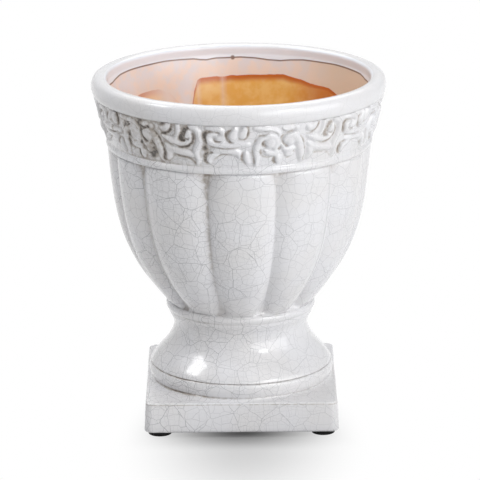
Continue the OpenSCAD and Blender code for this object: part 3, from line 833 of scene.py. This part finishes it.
rings = [round_ring(z0)] + [square_ring(half, UNDER_CORNER, z0) for half in UNDER_RINGS]
for a in np.linspace(0, pi / 2, 7):
    rings.append(square_ring(HALF_LOW - LOW_EDGE * (1 - sin(a)), CORNER,
                             z0 + LOW_EDGE * (1 - cos(a))))
for k in 1 - (1 - np.linspace(0, 1, 14)[1:-1])**1.6:
    rings.append(square_ring(HALF_LOW + (HALF_HIGH - HALF_LOW) * k, CORNER,
                             z0 + LOW_EDGE + (z1 - z0 - LOW_EDGE - HIGH_EDGE) * k))
for a in np.linspace(0, pi / 2, 6):
    rings.append(square_ring(HALF_HIGH - HIGH_EDGE * (1 - cos(a)), CORNER,
                             z1 - HIGH_EDGE * (1 - sin(a))))
rings += [cove_ring(k) for k in np.linspace(0, 1, 26)[1:]] + [round_ring(z1)]
plinth = piece_from(lofted(rings, 720), "glazed_plinth", "crackle_glaze", "plinth", crease=60)
p = points_of(plinth.data)
r, z = radius_of(p), p[:, 2]
high_back = BACK_LIFT * np.clip(p[:, 1] / HALF_HIGH, 0, 1) * np.clip((z - z0) / (z1 - z0), 0, 1)
lifted = p + np.outer(high_back, (0, 0, 1))
put_points(plinth.data, sink(lifted, glaze_waves(p) * (r > STILL_BORE)))
# Painted reflection: a dark line just under the upper edge; the crease line where the coves meet
# the ring is partly wash and partly painted shade.
painted_edge_reflection = EDGE_PAINTED_REFLECTION * np.exp(-((z - z1 + HIGH_EDGE) / 0.35)**2) * (r > STILL_BORE + 1)
crease_line = np.exp(-np.abs(r - COVE_FOOT) / 0.8) * (z > z1 + COVE_RISE - 0.6)
mark(plinth.data, "wash_and_shade", painted_edge_reflection + crease_line * heavy_side(p))

# %% [markdown]
# ## Pads
# A stuck-on pad is a small disc of black foam rubber. It is a spun profile with rounded edges,
# one for each corner, in the place of its CAD node.

# %% Four pads
pads = []
for name in ("pad_front_left", "pad_front_right", "pad_back_left", "pad_back_right"):
    low, high = (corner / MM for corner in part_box(name))
    half, thick = (high.x - low.x) / 2, high.z - low.z
    low_edge = smooth_line([(half - 0.7, 0), (half - 0.2, 0.2), (half, 0.7)], 0.15)
    high_edge = raised(thick, [(half, -0.5), (half - 0.15, -0.12), (half - 0.5, 0)], 0.15)
    bm = spun([(0, 0)] + low_edge + high_edge + [(0, thick)], 72, closed=False)
    bmesh.ops.translate(bm, vec=((low.x + high.x) / 2, (low.y + high.y) / 2, 0), verts=bm.verts)
    pads.append(piece_from(bm, f"foam_{name}", "black_pad", name, crease=50))

# %% [markdown]
# ## Writing shader maths
# A material is a net of nodes. Wrapping a socket in a small class lets sums be written as sums:
# each operator adds its Math node. Colours and vectors go through Mix and Vector Math instead,
# and every other node comes from one method that takes its settings and its inputs.

# %% A wrapped socket and a finish
class Wire:
    """One output in a finish's nodes, which can be added, multiplied and so on."""

    def __init__(self, finish, socket):
        self.finish, self.socket = finish, socket

    def maths(self, operation, *others):
        return self.finish.node("Math", {"operation": operation},
                                dict(enumerate((self, *others))))

    def beside(self, name):
        """Another output of the same node."""
        return Wire(self.finish, self.socket.node.outputs[name])

    def __add__(self, other):
        return self.maths("ADD", other)

    def __mul__(self, other):
        return self.maths("MULTIPLY", other)

    def __sub__(self, other):
        return self.maths("SUBTRACT", other)

    def __rsub__(self, other):
        return (self * -1) + other

    __radd__, __rmul__ = __add__, __mul__


class Finish:
    """The nodes of a material, or of the world."""

    def __init__(self, holder):
        holder.use_nodes = True
        self.holder, self.tree = holder, holder.node_tree
        self.tree.nodes.clear()

    def node(self, kind, settings=None, inputs=None, output=0):
        made = self.tree.nodes.new("ShaderNode" + kind)
        for key, value in (settings or {}).items():
            setattr(made, key, value)
        for key, value in (inputs or {}).items():
            if isinstance(value, Wire):
                self.tree.links.new(value.socket, made.inputs[key])
            else:
                made.inputs[key].default_value = value
        return Wire(self, made.outputs[output]) if made.outputs else made

    def mix(self, share, a, b):
        """Colour a where the share is 0 and b where it is 1."""
        return self.node("Mix", {"data_type": "RGBA"}, {0: share, 6: a, 7: b}, 2)

    def vector(self, operation, a, b=None, scale=None):
        """Vector maths; the result of a dot product or a length is a number."""
        inputs = {0: a}
        if b is not None:
            inputs[1] = b
        if scale is not None:
            inputs["Scale"] = scale
        number = operation in ("DOT_PRODUCT", "LENGTH")
        return self.node("VectorMath", {"operation": operation}, inputs,
                         "Value" if number else "Vector")

    def step(self, value, start, end, low=0.0, high=1.0):
        """Rises smoothly from low to high while the value goes from start to end."""
        return self.node("MapRange", {"interpolation_type": "SMOOTHSTEP"},
                         {"Value": value, "From Min": start, "From Max": end,
                          "To Min": low, "To Max": high})

    def noise(self, points, size_mm, detail=2.0, output=0):
        return self.node("TexNoise", {}, {"Vector": points, "Scale": 1 / size_mm,
                                          "Detail": detail}, output)

    def attribute(self, name):
        return self.node("Attribute", {"attribute_name": name}, {}, "Fac")

    def seen(self):
        """1 for the rays that show the background, 0 for those that carry its light."""
        rays = [self.node("LightPath", {}, {}, f"Is {kind} Ray")
                for kind in ("Camera", "Glossy", "Transmission")]
        return rays[0].maths("MAXIMUM", rays[1]).maths("MAXIMUM", rays[2])


def rgb(red, green, blue):
    """A colour as it is seen, from 0 to 255, in the linear values that nodes use."""
    return tuple(((v / 255 + 0.055) / 1.055)**2.4 if v > 10 else v / 255 / 12.92
                 for v in (red, green, blue)) + (1,)

# %% [markdown]
# ## Crackle
# Glaze that shrinks more than its clay tears into a net of fine cracks, first long ones and then
# finer ones that end at them. The walls between Voronoi cells give such a net. A wall that cuts
# the surface at a slant would draw a broad line, so the distance to the wall is worked out from
# the two nearest cells and measured along the surface. Each cell then shifts the points by its
# own amount, and the next, finer net starts afresh inside it.

# %% Nets of cracks
def millimetres(finish):
    """The object's own coordinates, in millimetres."""
    place = finish.node("TexCoord", {}, {}, "Object")
    return finish.vector("SCALE", place, scale=1 / MM)


def warped(finish, points, size_mm, amount_mm):
    """Points pushed about by a noise of a given size."""
    push = finish.vector("SUBTRACT", finish.noise(points, size_mm, 2.0, "Color"), (0.5,) * 3)
    return finish.vector("ADD", points, finish.vector("SCALE", push, scale=amount_mm))


def net(finish, points, cell_mm, line_mm, randomness, contrast):
    """Cracks between cells, from 0 to contrast, and points that differ from cell to cell."""
    cells = [finish.node("TexVoronoi", {"feature": feature},
                         {"Vector": points, "Scale": 1 / cell_mm, "Randomness": randomness},
                         "Position") for feature in ("F1", "F2")]
    apart = finish.vector("SUBTRACT", cells[1], cells[0])
    way = finish.vector("NORMALIZE", apart)
    middle = finish.vector("SCALE", finish.vector("ADD", cells[0], cells[1]), scale=0.5)
    off = finish.vector("DOT_PRODUCT", finish.vector("SUBTRACT", middle, points), way)
    surface = finish.node("NewGeometry", {}, {}, "Normal")
    tilt = finish.vector("DOT_PRODUCT", way, surface)
    slant = (1.02 - tilt * tilt).maths("SQRT")
    line = finish.step(off.maths("DIVIDE", slant), line_mm * 0.3, line_mm, contrast, 0.0)
    own = finish.vector("SCALE", cells[0].beside("Color"), scale=90.0)
    return line, finish.vector("ADD", points, own)


def crackle(finish, points):
    """The whole net of cracks."""
    bent = warped(finish, warped(finish, points, 12, 3.0), 3, 0.5)
    patches = finish.noise(points, 25, 1.0)
    first, inner = net(finish, bent, 11.5, 0.14, 0.85, 0.8)
    second, innermost = net(finish, inner, 5.5, 0.12, 0.65, 0.62)
    third, _ = net(finish, innermost, 2.6, 0.09, 0.4, 0.42)
    third = third * finish.step(patches, 0.38, 0.58, 0.25, 1.0)
    both = first.maths("MAXIMUM", second) * finish.step(patches, 0.3, 0.5, 0.65, 1.0)
    return both.maths("MAXIMUM", third)

# %% [markdown]
# ## Glazes
# The glaze is a clear, glossy layer over a pale body, so one Principled shader with a coat does
# for all of it. One attribute of the vertices carries both the brown wash and painted shade in
# creases, grooves and joints, and a painted dark reflection under the plinth's upper edge; its
# tints are broken up by noise so that they gather in specks. Inside the pot the three zones follow
# the signed distances: a brown line and one brown blob end the white lap, which is painted lighter
# and a little bluer just above its edge, the pink grows warmer lower down and is painted darker on
# the right as shade, and the honey is darkest along its edge and is painted darker on its right
# flank as shade. The inside has no coat.

# %% White crackle glaze
WHITE = rgb(224, 224, 227)
WHITE_WARM = rgb(222, 221, 222)
CRACK = rgb(122, 122, 128)
WASH_AND_SHADE_TINT = rgb(142, 128, 112)
WASH_AND_SHADE_DARK = rgb(46, 38, 30)
COAT = 0.35


def glaze(name, inside=False):
    """The pot's glaze; the inside zones are added for the pieces that have an inside."""
    finish = Finish(bpy.data.materials.new(name))
    points = millimetres(finish)
    cracks = crackle(finish, points)
    cloud = finish.noise(points, 30, 3.0)
    colour = finish.mix(finish.step(cloud, 0.35, 0.65), WHITE, WHITE_WARM)
    wash_and_shade = finish.attribute("wash_and_shade")
    specks = finish.noise(points, 2.2, 4.0)
    broken = wash_and_shade * finish.step(specks, 0.30, 0.62, 0.55, 1.2)
    # Two tints for the wash and the painted shade alike: brown where the attribute is low, near
    # black where it is strongest.
    colour = finish.mix(finish.step(broken, 0.06, 0.75, 0.0, 0.78), colour, WASH_AND_SHADE_TINT)
    colour = finish.mix(finish.step(broken, 0.55, 1.25, 0.0, 0.85), colour, WASH_AND_SHADE_DARK)
    side = finish.node("SeparateXYZ", {}, {"Vector": points}, "X")
    show = finish.step(wash_and_shade, 0.2, 0.7, 0.9, 0.4) * (1 - finish.attribute("calm"))
    show = show * finish.step(side, -25, 45, 1.0, 0.55)
    colour = finish.mix(cracks * show, colour, CRACK)
    roughness = finish.step(broken, 0.3, 1.0, 0.16, 0.42)
    coat = COAT
    if inside:
        coat = finish.step(finish.attribute("inside"), 0.0, 1.0, COAT, 0.0)
        colour = inside_zones(finish, points, side, colour)
    bump = finish.node("Bump", {}, {
        "Height": finish.noise(points, 4.5, 3.0) * 0.6 + specks * broken * 0.8,
        "Strength": 0.25, "Distance": 0.0002})
    shader = finish.node("BsdfPrincipled", {}, {
        "Base Color": colour, "Roughness": roughness, "Normal": bump, "IOR": 1.5,
        "Coat Weight": coat, "Coat Roughness": 0.06})
    finish.node("OutputMaterial", {}, {"Surface": shader})
    return finish.holder


LAP_PAINTED_LIGHT = rgb(238, 243, 252)
LAP_LINE = rgb(104, 66, 42)
PINK = rgb(240, 223, 214)
PINK_GREY = rgb(230, 224, 226)
PINK_LOW = rgb(236, 208, 184)
PINK_PAINTED_SHADE = rgb(226, 203, 180)
HONEY = rgb(240, 196, 118)
HONEY_DARK = rgb(232, 176, 84)
HONEY_EDGE = rgb(194, 97, 2)
BLOB = (-3.0, 66.5, 171.2)
BLOB_INNER, BLOB_OUTER = 0.7, 1.6


def inside_zones(finish, points, side, colour):
    """Lays the pinkish glaze, the bare honey body and their edges over a colour."""
    inside, above = finish.attribute("inside"), finish.attribute("above_lap")
    below = finish.attribute("below_bare")
    wobble = (finish.noise(points, 3, 3.0) - 0.5) * 1.2
    streak = finish.noise(points, 6, 4.0)
    pink = finish.mix(finish.step(streak, 0.38, 0.6), PINK, PINK_GREY)
    pink = finish.mix(finish.step(below, -9, 0, 0.0, 0.4), pink, PINK_LOW)
    # Painted shade: the pink is darker on the right side of the inside.
    pink = finish.mix(finish.step(side, 24, 52, 0.0, 0.9), pink, PINK_PAINTED_SHADE)
    honey = finish.mix(finish.step(streak, 0.35, 0.65), HONEY, HONEY_DARK)
    bare = below + wobble * 0.6
    edge = finish.step(bare, 0.8, 4.5, 1.0, 0.0)
    # Painted shade: the honey is darker on its right flank; the darker edge is the glaze's own.
    painted_shade_right = finish.step(side, 22, 46, 0.0, 0.75)
    honey = finish.mix(edge.maths("MAXIMUM", painted_shade_right), honey, HONEY_EDGE)
    thin = finish.attribute("bare_share")
    under = finish.mix(finish.step(bare, -0.15, 0.25) * thin, pink, honey)
    line = finish.step(above, -0.9, -0.3) * finish.step(above, 0.0, 0.3, 1.0, 0.0)
    from_blob = finish.vector("LENGTH", finish.vector("SUBTRACT", points, BLOB))
    line = line.maths("MAXIMUM", finish.step(from_blob, BLOB_INNER, BLOB_OUTER, 1.0, 0.0))
    # Painted light: the lap inside is made lighter and a little bluer than the outside white.
    lap = finish.mix(finish.step(above, 4.5, 8.5), LAP_PAINTED_LIGHT, colour)
    under = finish.mix(finish.step(above, -0.1, 0.1), under, lap)
    under = finish.mix(line * 0.85, under, LAP_LINE)
    return finish.mix(inside, colour, under)


for name, glazed in (("pot_glaze", (bowl, band, rim)),
                     ("foot_glaze", (neck, bell, foot_piece, plinth)),
                     ("sprig_glaze", sprigs)):
    material = glaze(name, inside=name == "pot_glaze")
    for piece in glazed:
        piece.data.materials.append(material)
    print(f"{name}: {len(material.node_tree.nodes)} nodes on {len(glazed)} pieces")

# %% [markdown]
# ## Foam rubber
# The pads are nearly black and dull. A fine noise gives the skin of the foam its grain.

# %% Black foam rubber
rubber = Finish(bpy.data.materials.new("foam_rubber"))
points = millimetres(rubber)
grain = rubber.noise(points, 0.35, 3.0)
shader = rubber.node("BsdfPrincipled", {}, {
    "Base Color": rubber.mix(rubber.step(grain, 0.3, 0.7), rgb(8, 8, 9), rgb(20, 19, 20)),
    "Specular IOR Level": 0.2, "Roughness": rubber.step(grain, 0.3, 0.7, 0.6, 0.85),
    "Normal": rubber.node("Bump", {}, {"Height": grain, "Strength": 0.4, "Distance": 0.0001})})
rubber.node("OutputMaterial", {}, {"Surface": shader})
for pad in pads:
    pad.data.materials.append(rubber.holder)

# %% [markdown]
# ## Floor, light and background
# The photograph has a white ground with a soft shadow under the plinth. The floor is a pale disc
# with a painted shadow: it is painted darker in a soft strip round the plinth, where the shadow is
# deepest. It fades into the white background away from the pot, so no horizon shows. Camera,
# glossy and transmission rays see that white, and the light itself stays at a plain level. Two
# large lamps at the front right model the lobes, those above and behind light the rim and throw
# the shadow forward, one high on the left lights the bell, and two small ones draw the highlights
# on it.

# %% Floor that fades to white
SHADE_WIDTH, SHADE_SHARE = 0.022, 0.6
FADE_REACH = 0.125

bm = bmesh.new()
bmesh.ops.create_circle(bm, cap_ends=True, segments=96, radius=3)
floor_mesh = bpy.data.meshes.new("floor")
bm.to_mesh(floor_mesh)
bm.free()
floor = placed("floor", floor_mesh)

pale = Finish(bpy.data.materials.new("pale_floor"))
place = pale.node("TexCoord", {}, {}, "Object")
split = pale.node("SeparateXYZ", {}, {"Vector": place})
beyond = split.maths("ABSOLUTE").maths("MAXIMUM", split.beside("Y").maths("ABSOLUTE"))
# Painted shadow: the floor colour is darker in a strip round the plinth.
near = pale.step(beyond - HALF_LOW * MM, 0.0, SHADE_WIDTH, 1.0, 0.0)
painted_shadow = pale.mix(near * SHADE_SHARE, rgb(218, 218, 218), rgb(84, 84, 84))
lit = pale.node("BsdfDiffuse", {}, {"Color": painted_shadow})
white = pale.node("Emission", {}, {"Strength": 1.0})
around = pale.node("Mapping", {}, {"Vector": place, "Location": (0, 0.06, 0),
                                   "Scale": (1.9, 1, 1)})
fade = pale.step(pale.vector("LENGTH", around), 0.0, FADE_REACH)
mixed = pale.node("MixShader", {}, {0: fade * pale.seen(), 1: lit, 2: white})
pale.node("OutputMaterial", {}, {"Surface": mixed})
floor.data.materials.append(pale.holder)

# %% World and lamps
WORLD_LEVEL = 0.195
LAMP_DISTANCE, LAMP_AIM = 1.3, (0, 0, 0.1)

bpy.context.scene.view_settings.view_transform = "Standard"
world = bpy.data.worlds.new("studio")
bpy.context.scene.world = world
room = Finish(world)
level = room.seen().maths("MAXIMUM", WORLD_LEVEL)
light = room.node("Background", {}, {"Strength": level})
room.node("OutputWorld", {}, {"Surface": light})


def lamp(name, azimuth, rise, width, height, watts):
    """A rectangular soft lamp that looks at the pot; azimuth 0 is the front, + to the right."""
    data = bpy.data.lights.new(name, "AREA")
    data.shape, data.size, data.size_y, data.energy = "RECTANGLE", width, height, watts
    a, e = radians(azimuth), radians(rise)
    way = Vector((sin(a) * cos(e), -cos(a) * cos(e), sin(e)))
    light_box = placed(name, data)
    light_box.location = Vector(LAMP_AIM) + way * LAMP_DISTANCE
    light_box.rotation_euler = (-way).to_track_quat("-Z", "Y").to_euler()


lamp("high_lamp_right", 35, 31, 1.3, 1.3, 4.4)
lamp("low_lamp_right", 50, 10, 1.6, 1.1, 10.8)
lamp("lamp_above", 0, 82, 1.1, 1.1, 2.8)
lamp("lamp_behind", 180, 54, 1.2, 0.8, 6.0)
lamp("high_lamp_left", -100, 58, 1.3, 1.2, 5.5)
lamp("small_lamp_left", -81, 47, 0.3, 0.34, 2.4)
lamp("small_lamp_right", 40, 31, 0.3, 0.2, 1.9)
print("lamps placed")
